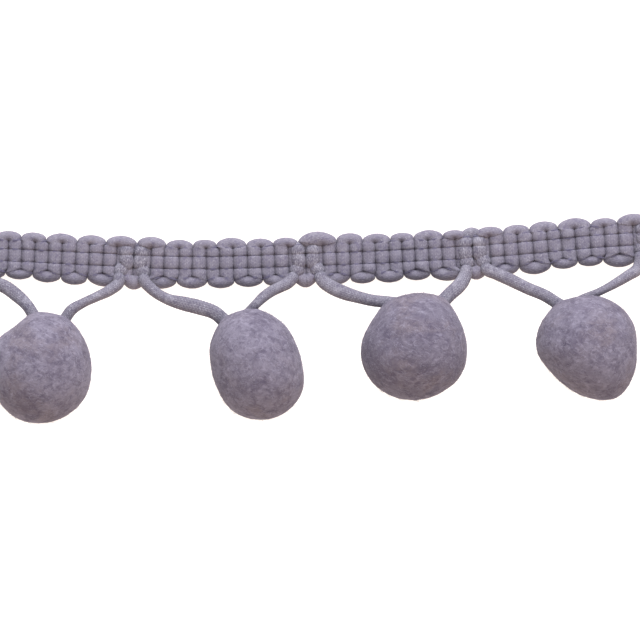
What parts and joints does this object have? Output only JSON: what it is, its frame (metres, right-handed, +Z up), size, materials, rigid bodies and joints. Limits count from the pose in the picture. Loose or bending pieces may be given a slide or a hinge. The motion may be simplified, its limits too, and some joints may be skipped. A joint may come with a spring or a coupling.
{
  "type": "pompom fringe trim",
  "caption": "Cut length of woven braid edging with felted wool pompoms hanging from it in swags of knitted cord.",
  "frame": {"origin": "on the surface that the trim lies on, under the middle of the whole trim", "axes": "+X along the heading, +Y from the pompoms towards the heading, +Z up out of the trim's face"},
  "size_m": [0.1348, 0.035, 0.0162],
  "materials": {
    "heading_yarn": "soft spun yarn, matt",
    "knitted_cord": "fine knitted cord, matt",
    "felt": "felted wool, matt and slightly fuzzy"
  },
  "bodies": {
    "root": {"heading": "heading_yarn", "drop_cord_1": "knitted_cord", "drop_cord_2": "knitted_cord", "drop_cord_3": "knitted_cord", "drop_cord_4": "knitted_cord", "drop_cord_5": "knitted_cord", "pompom_1": "felt", "pompom_2": "felt", "pompom_3": "felt", "pompom_4": "felt"}
  },
  "joints": []
}
